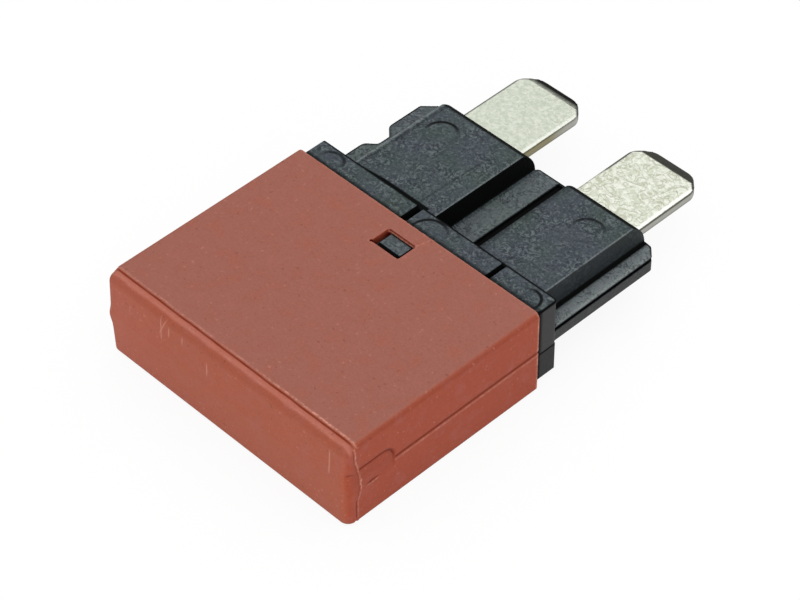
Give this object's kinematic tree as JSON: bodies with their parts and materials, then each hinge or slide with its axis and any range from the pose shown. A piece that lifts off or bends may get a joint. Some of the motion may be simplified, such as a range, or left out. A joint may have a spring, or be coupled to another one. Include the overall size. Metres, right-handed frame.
{
  "type": "blade circuit breaker",
  "caption": "Flat automotive blade circuit breaker: red moulded cap latched over a black moulded base that holds two tinned blade terminals and a bimetal switch.",
  "frame": {"origin": "under the middle of the whole part, on the plane it lies on", "axes": "+Y from the cap's closed end to the blade tips, +X across the two blades, +Z through the thickness, away from the surface it lies on"},
  "size_m": [0.0202, 0.033, 0.0063],
  "materials": {
    "red_moulding": "fine matt grain, moulded",
    "black_moulding": "spark eroded, moulded",
    "tinned_brass": "matt tin plate",
    "bimetal": "rolled",
    "plain_brass": "stamped",
    "contact_silver": "coined"
  },
  "bodies": {
    "root": {"cap": "red_moulding", "base": "black_moulding", "terminal_left": "tinned_brass", "terminal_right": "tinned_brass", "bimetal_strip": "bimetal", "clamp_plate": "plain_brass", "anchor_rivets": "plain_brass", "fixed_contact": "contact_silver"},
    "contact_arm": {"moving_contact": "contact_silver"}
  },
  "joints": [
    {"name": "contact_lift", "type": "hinge", "parent": "root", "child": "contact_arm", "pos_m": [-0.00473, -0.0103, 0.00363], "axis": [0, -1, 0], "range_deg": [0, 6], "stiffness_Nm_per_rad": 0.1, "deforming": ["bimetal_strip"]}
  ]
}
